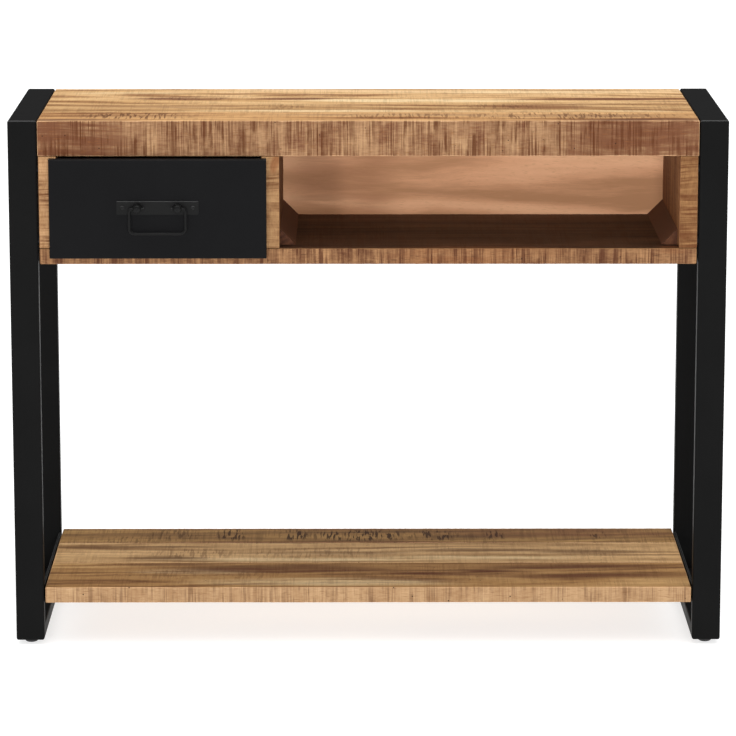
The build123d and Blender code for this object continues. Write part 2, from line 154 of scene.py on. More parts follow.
@dataclass(frozen=True)
class PowderCoat:
    """Matt black polyester powder, sprayed and baked on steel.

    The baked film gives a deep neutral black with a low, broad sheen and the faint ripple of
    orange peel; it greys a little where hands rub it. Its upper corners carry a painted highlight, a paler
    grey.
    """

    name: str
    colour: str = "#111111"
    rubbed: str = "#171717"
    roughness: float = 0.46
    specular: float = 0.03
    # Painted highlight: the paler grey laid along upper corners, where light from above would catch them.
    thin: str = "#4a4a4a"
    corner_mm: float = 2.5
    corner_samples: int = 6
    peel_mm: float = 2.2
    peel_depth_mm: float = 0.05
    cloud_mm: float = 90.0

    def _upper_corner_highlight(self, tree: TREE) -> SOCKET:
        """Finds the upper corners, where the surface turns within a few millimetres, for the painted
        highlight.

        Args:
            tree: The material's node tree.

        Returns:
            1 on an upper corner and 0 on flat or lower surfaces.
        """
        soft = add_node(tree, "Bevel", {"samples": self.corner_samples}, {
            "Radius": self.corner_mm * MM}).outputs[0]
        normal = add_node(tree, "NewGeometry").outputs["Normal"]
        apart = add_node(tree, "VectorMath", {"operation": "DISTANCE"}, {
            0: soft, 1: normal}).outputs["Value"]
        turn = add_node(tree, "MapRange", SMOOTH, {
            "Value": apart, "From Min": 0.15, "From Max": 0.6}).outputs[0]
        up = add_node(tree, "SeparateXYZ", None, {0: soft}).outputs[2]
        up = add_node(tree, "MapRange", SMOOTH, {
            "Value": up, "From Min": 0.3, "From Max": 0.6}).outputs[0]
        return add_node(tree, "Math", {"operation": "MULTIPLY"}, {0: turn, 1: up}).outputs[0]

    def material(self) -> bpy.types.Material:
        """Builds the paint's material.

        Returns:
            The material.
        """
        made, tree, shader = new_material(self.name)
        place = add_node(tree, "TexCoord").outputs["Object"]
        peel = add_node(tree, "TexNoise", None,
                        {"Vector": place, "Scale": per_mm(self.peel_mm), "Detail": 2.0}).outputs[0]
        cloud = add_node(tree, "TexNoise", None,
                         {"Vector": place, "Scale": per_mm(self.cloud_mm), "Detail": 3.0}).outputs[0]
        sheen = add_node(tree, "MapRange", None, {
            "Value": cloud, "From Min": 0.3, "From Max": 0.7,
            "To Min": self.roughness - 0.04, "To Max": self.roughness + 0.05}).outputs[0]
        tint = add_node(tree, "Mix", COLOURS, {
            0: cloud, MIX_A: linear(self.colour), MIX_B: linear(self.rubbed)}).outputs[MIX_OUT]
        # Painted highlight: paler grey mixed in along the upper corners.
        tint = add_node(tree, "Mix", COLOURS, {
            0: self._upper_corner_highlight(tree), MIX_A: tint, MIX_B: linear(self.thin)}).outputs[MIX_OUT]
        bump = add_node(tree, "Bump", None, {
            "Height": peel, "Strength": 0.35, "Distance": self.peel_depth_mm * MM}).outputs[0]
        tree.links.new(tint, shader.inputs["Base Color"])
        tree.links.new(sheen, shader.inputs["Roughness"])
        tree.links.new(bump, shader.inputs["Normal"])
        shader.inputs["Specular IOR Level"].default_value = self.specular
        return made


@dataclass(frozen=True)
class Steel:
    """Rolled or plated steel.

    Zinc gives small parts a cool grey with a cloudy, slightly blotched gloss; rolled strip shows
    fine lines along its length, drawn coarser than real ones so that they show.
    """

    name: str
    colour: str
    roughness: float
    blotch_mm: float = 4.0
    line: float = 0.0
    line_mm: float = 0.6
    line_depth_mm: float = 0.03

    def material(self) -> bpy.types.Material:
        """Builds the steel's material.

        Returns:
            The material.
        """
        made, tree, shader = new_material(self.name)
        place = add_node(tree, "TexCoord").outputs["Object"]
        drawn = add_node(tree, "Mapping", None, {"Vector": place, "Scale": (1, 0.02, 1)}).outputs[0]
        cloud = add_node(tree, "TexNoise", None,
                         {"Vector": place, "Scale": per_mm(self.blotch_mm), "Detail": 3.0}).outputs[0]
        lines = add_node(tree, "TexNoise", None,
                         {"Vector": drawn, "Scale": per_mm(self.line_mm), "Detail": 2.0}).outputs[0]
        rough = add_node(tree, "MapRange", None, {
            "Value": cloud, "From Min": 0.3, "From Max": 0.7,
            "To Min": self.roughness - 0.07, "To Max": self.roughness + 0.1}).outputs[0]
        tint = add_node(tree, "Mix", {"data_type": "RGBA", "blend_type": "MULTIPLY"}, {
            0: 0.35, MIX_A: linear(self.colour), MIX_B: cloud}).outputs[MIX_OUT]
        bump = add_node(tree, "Bump", None, {
            "Height": lines, "Strength": self.line, "Distance": self.line_depth_mm * MM}).outputs[0]
        tree.links.new(tint, shader.inputs["Base Color"])
        tree.links.new(rough, shader.inputs["Roughness"])
        tree.links.new(bump, shader.inputs["Normal"])
        shader.inputs["Metallic"].default_value = 1.0
        return made


@dataclass(frozen=True)
class MouldedPlastic:
    """Black polyethylene, injection moulded: a fine even grain and a broad, dull highlight."""

    name: str
    colour: str = "#1b1b1b"
    fleck: str = "#242424"
    grit_mm: float = 0.5
    grit_depth_mm: float = 0.04

    def material(self) -> bpy.types.Material:
        """Builds the plastic's material.

        Returns:
            The material.
        """
        made, tree, shader = new_material(self.name)
        place = add_node(tree, "TexCoord").outputs["Object"]
        grit = add_node(tree, "TexNoise", None,
                        {"Vector": place, "Scale": per_mm(self.grit_mm), "Detail": 1.0}).outputs[0]
        tint = add_node(tree, "Mix", COLOURS, {
            0: grit, MIX_A: linear(self.colour), MIX_B: linear(self.fleck)}).outputs[MIX_OUT]
        rough = add_node(tree, "MapRange", None, {
            "Value": grit, "To Min": 0.45, "To Max": 0.65}).outputs[0]
        bump = add_node(tree, "Bump", None, {
            "Height": grit, "Strength": 0.3, "Distance": self.grit_depth_mm * MM}).outputs[0]
        tree.links.new(tint, shader.inputs["Base Color"])
        tree.links.new(rough, shader.inputs["Roughness"])
        tree.links.new(bump, shader.inputs["Normal"])
        shader.inputs["IOR"].default_value = 1.5
        return made


@dataclass(frozen=True)
class MattAcrylic:
    """Pale matt acrylic sheet, lit faintly from below, which leaves only a trace of shadow."""

    name: str
    colour: str = "#b9b9b9"
    glow: float = 0.72
    roughness: float = 0.9
    specular: float = 0.1

    def material(self) -> bpy.types.Material:
        """Builds the sheet's material.

        Returns:
            The material.
        """
        made, _, shader = new_material(self.name)
        shader.inputs["Base Color"].default_value = linear(self.colour)
        shader.inputs["Emission Color"].default_value = (1, 1, 1, 1)
        shader.inputs["Emission Strength"].default_value = self.glow
        shader.inputs["Roughness"].default_value = self.roughness
        shader.inputs["Specular IOR Level"].default_value = self.specular
        return made


@dataclass(frozen=True)
class Patch:
    """An elongated area of a board, in millimetres.

    Its middle is counted along the table, back from the frames' front and up from the floor, and
    its reach is how far it spreads each way. Without a height it goes through the whole board.
    """

    x: float
    depth: float
    reach_x: float
    reach_depth: float
    strength: float = 1.0
    z: float = 0.0
    reach_z: float = 100000.0


@dataclass(frozen=True)
class MarkSizes:
    """The sizes of the wood's marks across the fibres or strokes, and their depth, in millimetres."""

    wave: float = 48.0
    wave_reach: float = 20.0
    broad: float = 40.0
    streak: float = 10.0
    fibre: float = 2.0
    pore: float = 0.9
    blotch: float = 20.0
    edge_fibre: float = 2.4
    kerf: float = 2.2
    patchy: float = 20.0
    dash: float = 4.2
    hole: float = 0.9
    hole_cell: float = 17.0
    relief: float = 0.35


@dataclass(frozen=True)
class Mango:
    """Mango wood under a thin matt lacquer, band sawn or planed.

    Honey sapwood swings to brown and purplish heartwood in long streaks, with growth lines and
    short pores along the fibres. A band saw leaves upright strokes on the edges, close together
    and darkened by the lacquer, and loose rows of short slanting strokes on the faces. The
    eased corners take a colour of their own, partly rubbed wear and partly a painted highlight
    where the rounded edges catch the light. Fibres are drawn about twice as coarse as real ones,
    which are too fine to show. The beech dowels share it, without the saw's marks.
    """

    name: str
    light: str
    middle: str
    dark: str
    edge_light: str = "#a8845f"
    edge_dark: str = "#765238"
    heart: str = "#7d4c2c"
    pale: str = "#ecd2a4"
    stroke: str = "#4c2a1b"
    # The eased corners' colour: partly rubbed wear, partly a painted highlight where the rounded edges
    # catch the light.
    rubbed: str = "#c9a078"
    hole: str = "#2a1a12"
    grain: Grain = Grain.ALONG_TABLE
    seed: float = 0.0
    ring_mm: float = 26.0
    growth: float = 0.10
    contrast: float = 1.0
    heartwood: tuple[Patch, ...] = ()
    sapwood: tuple[Patch, ...] = ()
    rows: tuple[Patch, ...] = ()
    row_slant: float = 22.0
    edge_strokes: float = 0.85
    face_strokes: float = 0.2
    stroke_mm: float = 3.8
    kerf: float = 0.55
    holes: float = 0.8
    roughness: float = 0.66
    specular: float = 0.15
    sizes: MarkSizes = MarkSizes()

    def _fibres(self, tree: TREE, point: SOCKET) -> SOCKET:
        """Turns a point so that its X runs along the fibres.

        Args:
            tree: The material's node tree.
            point: The point, in metres.

        Returns:
            The turned point.
        """
        parts = add_node(tree, "SeparateXYZ", None, {0: point}).outputs
        order = {number: parts[axis] for number, axis in enumerate(self.grain.value)}
        return add_node(tree, "CombineXYZ", None, order).outputs[0]

    def _waved(self, tree: TREE, point: SOCKET) -> SOCKET:
        """Bends straight grain into slow waves.

        Args:
            tree: The material's node tree.
            point: The point, in metres.

        Returns:
            The point, moved by up to a few millimetres.
        """
        slow = add_node(tree, "Mapping", None, {"Vector": point, "Scale": (0.3, 1, 1)}).outputs[0]
        wave = add_node(tree, "TexNoise", SEEDED, {
            "Vector": slow, "W": self.seed + Layer.WAVE, "Scale": per_mm(self.sizes.wave),
            "Detail": 2.0}).outputs["Color"]
        shift = add_node(tree, "VectorMath", {"operation": "SUBTRACT"}, {
            0: wave, 1: (0.5, 0.5, 0.5)}).outputs[0]
        reach = self.sizes.wave_reach * MM
        return add_node(tree, "VectorMath", {"operation": "MULTIPLY_ADD"}, {
            0: shift, 1: (reach, reach, reach), 2: point}).outputs[0]

    def _tone(self, tree: TREE, waved: SOCKET) -> tuple[SOCKET, SOCKET]:
        """Mixes broad bands, streaks, growth lines and fibres into one tone.

        Args:
            tree: The material's node tree.
            waved: The waved point, with X along the fibres.

        Returns:
            The tone, from 0 in the darkest wood to 1 in the lightest, and the streaks alone.
        """
        long = add_node(tree, "Mapping", None, {"Vector": waved, "Scale": (0.07, 1, 1)}).outputs[0]
        broad = add_node(tree, "TexNoise", SEEDED, {
            "Vector": long, "W": self.seed + Layer.BROAD, "Scale": per_mm(self.sizes.broad),
            "Detail": 2.0}).outputs[0]
        streak = add_node(tree, "TexNoise", SEEDED, {
            "Vector": long, "W": self.seed + Layer.STREAK, "Scale": per_mm(self.sizes.streak),
            "Detail": 4.0, "Roughness": 0.62}).outputs[0]
        fibre = add_node(tree, "TexNoise", SEEDED, {
            "Vector": long, "W": self.seed + Layer.FIBRE, "Scale": per_mm(self.sizes.fibre),
            "Detail": 2.0, "Roughness": 0.7}).outputs[0]
        rings = add_node(tree, "TexNoise", SEEDED, {
            "Vector": long, "W": self.seed + Layer.RINGS, "Scale": per_mm(self.ring_mm * 4),
            "Detail": 1.0}).outputs[0]
        turns = add_node(tree, "Math", {"operation": "MULTIPLY"}, {0: rings, 1: 90.0}).outputs[0]
        growth = add_node(tree, "Math", {"operation": "SINE"}, {0: turns}).outputs[0]
        total = broad
        streak_share, fibre_share = 0.6, 0.3
        shares = ((streak, streak_share), (growth, self.growth), (fibre, fibre_share))
        for layer, amount in shares:
            total = add_node(tree, "Math", {"operation": "MULTIPLY_ADD"}, {
                0: layer, 1: amount, 2: total}).outputs[0]
        # Each noise lies about 0.5, and the growth lines' sine about 0.
        middle = 0.5 * (1 + streak_share + fibre_share)
        half = 0.25 / self.contrast
        tone = add_node(tree, "MapRange", None, {
            "Value": total, "From Min": middle - half, "From Max": middle + half}).outputs[0]
        return tone, streak

    def _face_colour(self, tree: TREE, tone: SOCKET) -> SOCKET:
        """The colour of a face, from dark through middling to light wood.

        Args:
            tree: The material's node tree.
            tone: The tone, from 0 in the darkest wood to 1 in the lightest.

        Returns:
            The colour.
        """
        low = add_node(tree, "MapRange", None, {"Value": tone, "From Max": 0.5}).outputs[0]
        high = add_node(tree, "MapRange", None, {"Value": tone, "From Min": 0.5}).outputs[0]
        wood = add_node(tree, "Mix", COLOURS, {
            0: low, MIX_A: linear(self.dark), MIX_B: linear(self.middle)}).outputs[MIX_OUT]
        return add_node(tree, "Mix", COLOURS, {
            0: high, MIX_A: wood, MIX_B: linear(self.light)}).outputs[MIX_OUT]

    def _area(self, tree: TREE, point: SOCKET, patches: tuple[Patch, ...]) -> SOCKET | float:
        """How far a point lies inside any of some patches.

        Args:
            tree: The material's node tree.
            point: The waved point, along the table's own axes.
            patches: The patches.

        Returns:
            The strength there, or 0 where there are no patches.
        """
        total = 0.0
        for patch in patches:
            near = add_node(tree, "Mapping", {"vector_type": "TEXTURE"}, {
                "Vector": point,
                "Location": (patch.x * MM, FRONT_Y + patch.depth * MM, patch.z * MM),
                "Scale": (patch.reach_x * MM, patch.reach_depth * MM, patch.reach_z * MM)}).outputs[0]
            inside = add_node(tree, "TexGradient", {"gradient_type": "SPHERICAL"}, {
                0: near}).outputs[1]
            here = add_node(tree, "MapRange", SMOOTH, {
                "Value": inside, "From Max": 0.6, "To Max": patch.strength}).outputs[0]
            total = add_node(tree, "Math", {"operation": "MAXIMUM"}, {0: here, 1: total}).outputs[0]
        return total

    def _heart_and_sap(self, tree: TREE, wood: SOCKET, point: SOCKET, streak: SOCKET) -> SOCKET:
        """Lays the marked areas of sapwood and heartwood over the wood.

        Args:
            tree: The material's node tree.
            wood: The wood's colour.
            point: The waved point, along the table's own axes.
            streak: The streaks, which make the areas ragged.

        Returns:
            The colour.
        """
        ragged = add_node(tree, "MapRange", SMOOTH, {
            "Value": streak, "From Min": 0.30, "From Max": 0.58}).outputs[0]
        for patches, colour in ((self.sapwood, self.pale), (self.heartwood, self.heart)):
            area = self._area(tree, point, patches)
            there = add_node(tree, "Math", {"operation": "MULTIPLY"}, {0: ragged, 1: area}).outputs[0]
            wood = add_node(tree, "Mix", COLOURS, {
                0: there, MIX_A: wood, MIX_B: linear(colour)}).outputs[MIX_OUT]
        return wood

    def _pores(self, tree: TREE, waved: SOCKET) -> SOCKET:
        """Short open pores along the fibres.

        Args:
            tree: The material's node tree.
            waved: The waved point, with X along the fibres.

        Returns:
            The pores' strength, from 0 to a half.
        """
        long = add_node(tree, "Mapping", None, {"Vector": waved, "Scale": (0.08, 1, 1)}).outputs[0]
        pores = add_node(tree, "TexNoise", SEEDED, {
            "Vector": long, "W": self.seed + Layer.PORES, "Scale": per_mm(self.sizes.pore),
            "Detail": 1.0}).outputs[0]
        return add_node(tree, "MapRange", None, {
            "Value": pores, "From Min": 0.58, "From Max": 0.72, "To Max": 0.5}).outputs[0]

    def _strokes(self, tree: TREE, plain: SOCKET, edge: SOCKET, rows: SOCKET | float) -> SOCKET:
        """The saw's strokes across the fibres: dense on sawn edges, in loose rows on the faces.

        Args:
            tree: The material's node tree.
            plain: The point, with X along the fibres.
            edge: 1 on the board's edges and 0 on its faces.
            rows: How far the point lies in a row of strokes.

        Returns:
            The strokes' strength, from 0 to 1.
        """
        across = add_node(tree, "Mapping", None, {
            "Vector": plain, "Rotation": (0, 0.02, 0.03), "Scale": (1, 0.02, 0.02)}).outputs[0]
        fine = add_node(tree, "TexNoise", SEEDED, {
            "Vector": across, "W": self.seed + Layer.FINE_STROKE,
            "Scale": per_mm(self.stroke_mm * 0.6), "Detail": 1.0}).outputs[0]
        bold = add_node(tree, "TexNoise", SEEDED, {
            "Vector": across, "W": self.seed + Layer.BOLD_STROKE, "Scale": per_mm(self.stroke_mm),
            "Detail": 2.0, "Roughness": 0.6}).outputs[0]
        tall = add_node(tree, "Mapping", None, {"Vector": plain, "Scale": (1, 0.5, 0.5)}).outputs[0]
        patchy = add_node(tree, "TexNoise", SEEDED, {
            "Vector": tall, "W": self.seed + Layer.PATCHY, "Scale": per_mm(self.sizes.patchy),
            "Detail": 4.0}).outputs[0]
        fine = add_node(tree, "MapRange", SMOOTH, {
            "Value": fine, "From Min": 0.50, "From Max": 0.57, "To Max": 0.7}).outputs[0]
        bold = add_node(tree, "MapRange", SMOOTH, {
            "Value": bold, "From Min": 0.54, "From Max": 0.58}).outputs[0]
        patchy = add_node(tree, "MapRange", SMOOTH, {
            "Value": patchy, "From Min": 0.40, "From Max": 0.58, "To Min": 0.12}).outputs[0]
        both = add_node(tree, "Math", {"operation": "MAXIMUM"}, {0: fine, 1: bold}).outputs[0]
        both = add_node(tree, "Math", {"operation": "MULTIPLY"}, {0: both, 1: patchy}).outputs[0]
        amount = add_node(tree, "MapRange", None, {
            "Value": edge, "To Min": self.face_strokes, "To Max": self.edge_strokes}).outputs[0]
        edges = add_node(tree, "Math", {"operation": "MULTIPLY"}, {0: both, 1: amount}).outputs[0]
        slanted = add_node(tree, "Mapping", None, {
            "Vector": plain, "Rotation": (0, 0, math.radians(self.row_slant)),
            "Scale": (1, 0.10, 0.10)}).outputs[0]
        dash = add_node(tree, "TexNoise", SEEDED, {
            "Vector": slanted, "W": self.seed + Layer.DASH, "Scale": per_mm(self.sizes.dash),
            "Detail": 2.0}).outputs[0]
        dash = add_node(tree, "MapRange", SMOOTH, {
            "Value": dash, "From Min": 0.50, "From Max": 0.58}).outputs[0]
        dash = add_node(tree, "Math", {"operation": "MULTIPLY"}, {0: dash, 1: rows}).outputs[0]
        return add_node(tree, "Math", {"operation": "MAXIMUM"}, {0: edges, 1: dash}).outputs[0]

    def _normals(self, tree: TREE) -> tuple[SOCKET, SOCKET]:
        """Tells the board's edges from its faces, and its eased corners from both; the corners take the
        rubbed colour, partly wear and partly a painted highlight.

        Args:
            tree: The material's node tree.

        Returns:
            The edges, which face front or back, and the corners, each from 0 to 1.
        """
        normal = add_node(tree, "NewGeometry").outputs["Normal"]
        size = add_node(tree, "VectorMath", {"operation": "ABSOLUTE"}, {0: normal}).outputs[0]
        parts = add_node(tree, "SeparateXYZ", None, {0: size}).outputs
        edge = add_node(tree, "MapRange", SMOOTH, {
            "Value": parts[1], "From Min": 0.55, "From Max": 0.85}).outputs[0]
        most = add_node(tree, "Math", {"operation": "MAXIMUM"}, {0: parts[0], 1: parts[1]}).outputs[0]
        most = add_node(tree, "Math", {"operation": "MAXIMUM"}, {0: most, 1: parts[2]}).outputs[0]
        # The eased corners, where the rubbed colour lays wear and a painted highlight.
        corner = add_node(tree, "MapRange", SMOOTH, {
            "Value": most, "From Min": 0.97, "From Max": 0.80}).outputs[0]
        return edge, corner

    def _edge_colour(self, tree: TREE, waved: SOCKET, crossed: SOCKET) -> SOCKET:
        """The blotched colour of a sawn edge, with its fibres and the saw's kerf lines.

        Args:
            tree: The material's node tree.
            waved: The waved point, with X along the fibres.
            crossed: The point that the saw's lines follow, with X along the fibres.

        Returns:
            The colour.
        """
        upright = add_node(tree, "Mapping", None, {
            "Vector": waved, "Scale": (0.8, 0.5, 0.4)}).outputs[0]
        blotch = add_node(tree, "TexNoise", SEEDED, {
            "Vector": upright, "W": self.seed + Layer.BLOTCH, "Scale": per_mm(self.sizes.blotch),
            "Detail": 4.0, "Roughness": 0.6}).outputs[0]
        long = add_node(tree, "Mapping", None, {"Vector": waved, "Scale": (0.16, 1, 1)}).outputs[0]
        fibre = add_node(tree, "TexNoise", SEEDED, {
            "Vector": long, "W": self.seed + Layer.EDGE_FIBRE,
            "Scale": per_mm(self.sizes.edge_fibre), "Detail": 2.0, "Roughness": 0.7}).outputs[0]
        cut = add_node(tree, "Mapping", None, {
            "Vector": crossed, "Scale": (1, 0.03, 0.03)}).outputs[0]
        kerf = add_node(tree, "TexNoise", SEEDED, {
            "Vector": cut, "W": self.seed + Layer.KERF, "Scale": per_mm(self.sizes.kerf),
            "Detail": 1.0}).outputs[0]
        mixed = 0.0
        shares = ((blotch, 0.8), (fibre, 0.4), (kerf, self.kerf))
        for layer, amount in shares:
            mixed = add_node(tree, "Math", {"operation": "MULTIPLY_ADD"}, {
                0: layer, 1: amount, 2: mixed}).outputs[0]
        middle = 0.5 * sum(amount for _, amount in shares)
        tone = add_node(tree, "MapRange", None, {
            "Value": mixed, "From Min": middle - 0.2, "From Max": middle + 0.2}).outputs[0]
        return add_node(tree, "Mix", COLOURS, {
            0: tone, MIX_A: linear(self.edge_dark), MIX_B: linear(self.edge_light)}).outputs[MIX_OUT]

    def _holes(self, tree: TREE, point: SOCKET) -> SOCKET:
        """Small round holes that beetles left in the tree.

        Args:
            tree: The material's node tree.
            point: The point, in metres.

        Returns:
            The holes' strength in a hole and 0 elsewhere.
        """
        cells = add_node(tree, "TexVoronoi", None, {
            "Vector": point, "Scale": per_mm(self.sizes.hole_cell)}).outputs[0]
        reach = self.sizes.hole / self.sizes.hole_cell
        return add_node(tree, "MapRange", SMOOTH, {
            "Value": cells, "From Min": 1.3 * reach, "From Max": 0.8 * reach,
            "To Max": self.holes}).outputs[0]

    def material(self) -> bpy.types.Material:
        """Builds the wood's material.

        Returns:
            The material.
        """
        made, tree, shader = new_material(self.name)
        point = add_node(tree, "TexCoord").outputs["Object"]
        plain = self._fibres(tree, point)
        bent = self._waved(tree, point)
        waved = self._fibres(tree, bent)
        tone, streak = self._tone(tree, waved)
        edge, corner = self._normals(tree)
        rows = self._area(tree, bent, self.rows)
        crossed = waved if self.grain is Grain.UPRIGHT else plain
        strokes = self._strokes(tree, crossed, edge, rows)
        wood = self._face_colour(tree, tone)
        if self.kerf > 0:
            wood = add_node(tree, "Mix", COLOURS, {
                0: edge, MIX_A: wood, MIX_B: self._edge_colour(tree, waved, crossed)}).outputs[MIX_OUT]
        wood = self._heart_and_sap(tree, wood, bent, streak)
        pores = self._pores(tree, waved)
        holes = self._holes(tree, point)
        # The corner mask lays the rubbed colour on every eased corner: wear, and also a painted highlight.
        for mask, colour in ((pores, self.dark), (corner, self.rubbed), (strokes, self.stroke),
                             (holes, self.hole)):
            wood = add_node(tree, "Mix", COLOURS, {
                0: mask, MIX_A: wood, MIX_B: linear(colour)}).outputs[MIX_OUT]
        relief = tone
        for layer, amount in ((strokes, -1.2), (pores, -0.5), (holes, -4.0)):
            relief = add_node(tree, "Math", {"operation": "MULTIPLY_ADD"}, {
                0: layer, 1: amount, 2: relief}).outputs[0]
        bump = add_node(tree, "Bump", None, {
            "Height": relief, "Strength": 0.5, "Distance": self.sizes.relief * MM}).outputs[0]
        dull = add_node(tree, "MapRange", None, {
            "Value": strokes, "To Min": self.roughness - 0.05, "To Max": self.roughness + 0.15}).outputs[0]
        tree.links.new(wood, shader.inputs["Base Color"])
        tree.links.new(dull, shader.inputs["Roughness"])
        tree.links.new(bump, shader.inputs["Normal"])
        shader.inputs["Specular IOR Level"].default_value = self.specular
        return made


# ---------------------------------------------------------------- board meshes


def lattice_noise(points: np.ndarray, size: tuple[float, float, float], seed: int) -> np.ndarray:
    """Smooth seeded noise, one value for each point.

    Args:
        points: Points in metres, one row each.
        size: The noise's cell along X, Y and Z, in millimetres.
        seed: Which noise.

    Returns:
        Values from -1 to 1.
    """
    count = 32
    table = np.random.default_rng(seed).uniform(-1, 1, (count, count, count))
    where = points / (np.array(size) * MM)
    base = np.floor(where).astype(int)
    part = where - base
    part = part * part * (3 - 2 * part)
    total = np.zeros(len(points))
    for corner in np.ndindex(2, 2, 2):
        weight = np.prod(np.where(corner, part, 1 - part), axis=1)
        cell = (base + corner) % count
        total += weight * table[cell[:, 0], cell[:, 1], cell[:, 2]]
    return total


@dataclass
class Board:
    """A sawn board that stands for one CAD node, with eased, slightly uneven edges.

    Its faces only ever sink below the CAD board's, never stand above them. Its sizes are in
    millimetres: the grid's steps along X, Y and Z, the eased edge's radius, how deep the wear, the
    slow hollows and the saw's teeth go, and the cells of those three patterns.
    """

    node: str
    finish: bpy.types.Material
    step: tuple[float, float, float] = (3.0, 6.0, 6.0)
    edge: float = 1.2
    wear: float = 0.5
    sink: float = 0.25
    teeth: float = 0.0
    sink_cell: tuple[float, float, float] = (60.0, 25.0, 25.0)
    wear_cell: tuple[float, float, float] = (23.0, 9.0, 9.0)
    teeth_cell: tuple[float, float, float] = (2.6, 45.0, 45.0)
    seed: int = 1
    lines: list[np.ndarray] = field(default_factory=list)

    def _grid_lines(self, half: np.ndarray) -> list[np.ndarray]:
        """Where the grid's lines lie along each axis, with extra ones round the edges.

        Args:
            half: Half the board's size.

        Returns:
            The lines' places from the board's middle, for X, Y and Z.
        """
        radius = self.edge * MM
        lines = []
        for size, step in zip(half, self.step):
            flat = size - radius
            inner = np.linspace(-flat, flat, max(2, round(2 * flat / (step * MM)) + 1))
            inner = np.insert(inner, [1, len(inner) - 1], [radius / 2 - flat, flat - radius / 2])
            eased = size - radius * np.array([0, 0.35])
            lines.append(np.concatenate([-eased, inner, eased[::-1]]))
        return lines

    def _surface(self) -> tuple[np.ndarray, np.ndarray]:
        """The lattice's outer points and the quads between them.

        Returns:
            Integer lattice points, one row each, and rows of four point numbers.
        """
        counts = [len(line) for line in self.lines]
        index = np.full(counts, -1)
        outer = np.zeros(counts, bool)
        for axis in range(3):
            ends = [slice(None)] * 3
            for end in (0, -1):
                ends[axis] = end
                outer[tuple(ends)] = True
        index[outer] = np.arange(outer.sum())
        quads = []
        for axis in range(3):
            for end in (0, -1):
                sheet = np.take(index, end, axis=axis)
                if (end == 0) == (axis != 1):
                    sheet = sheet[::-1]
                corners = (sheet[:-1, :-1], sheet[1:, :-1], sheet[1:, 1:], sheet[:-1, 1:])
                quads.append(np.stack([c.ravel() for c in corners], axis=1))
        return np.argwhere(outer), np.concatenate(quads)

    def _shaped(self, points: np.ndarray, half: np.ndarray) -> np.ndarray:
        """Rounds the box's edges and sinks its faces by the saw's and the years' marks.

        Args:
            points: Points on the plain box, from its middle.
            half: Half the board's size.

        Returns:
            The points on the finished surface.
        """
        radius = self.edge * MM
        core = np.clip(points, -(half - radius), half - radius)
        out = points - core
        length = np.linalg.norm(out, axis=1, keepdims=True)
        out = out / np.maximum(length, 1e-9)
        rounded = core + out * radius
        on_edge = 1 - np.max(np.abs(out), axis=1)
        sink = self.sink * (0.5 + 0.5 * lattice_noise(points, self.sink_cell, self.seed))
        chips = np.maximum(0, lattice_noise(points, self.wear_cell, self.seed + 1))
        worn = self.wear * chips * on_edge * EDGE_GAIN
        stroke = self.teeth * (0.5 + 0.5 * lattice_noise(points, self.teeth_cell, self.seed + 2))
        not_an_end = np.abs(out[:, 0]) < 0.5
        depth = (sink + worn + stroke * not_an_end) * MM
        return rounded - out * depth[:, None]

    def build(self) -> bpy.types.Object:
        """Makes the board, dresses it and puts it in its CAD node's place.

        Returns:
            The board.
        """
        low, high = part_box(self.node)
        middle = np.array((low + high) / 2)
        half = np.array((high - low) / 2)
        self.lines = self._grid_lines(half)
        lattice, quads = self._surface()
        plain = np.stack([self.lines[axis][lattice[:, axis]] for axis in range(3)], axis=1)
        points = self._shaped(plain, half) + middle
        mesh = bpy.data.meshes.new(self.node + "_sawn")
        mesh.from_pydata(points.tolist(), [], quads.tolist())
        mesh.materials.append(self.finish)
        mesh.shade_smooth()
        board = bpy.data.objects.new(self.node + "_sawn", mesh)
        bpy.context.scene.collection.objects.link(board)
        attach(board, TABLE)
        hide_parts(self.node)
        LOG.info("%s: %d quads, %s", board.name, len(quads), self.finish.name)
        return board


def dress(nodes: list[str], finish: bpy.types.Material) -> None:
    """Gives CAD nodes a finish.

    Args:
        nodes: The nodes' names.
        finish: Their material.
    """
    for name in nodes:
        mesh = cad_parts[name].data
        mesh.materials.clear()
        mesh.materials.append(finish)
        LOG.info("%s: %s", name, finish.name)


# ---------------------------------------------------------------- sub-assemblies


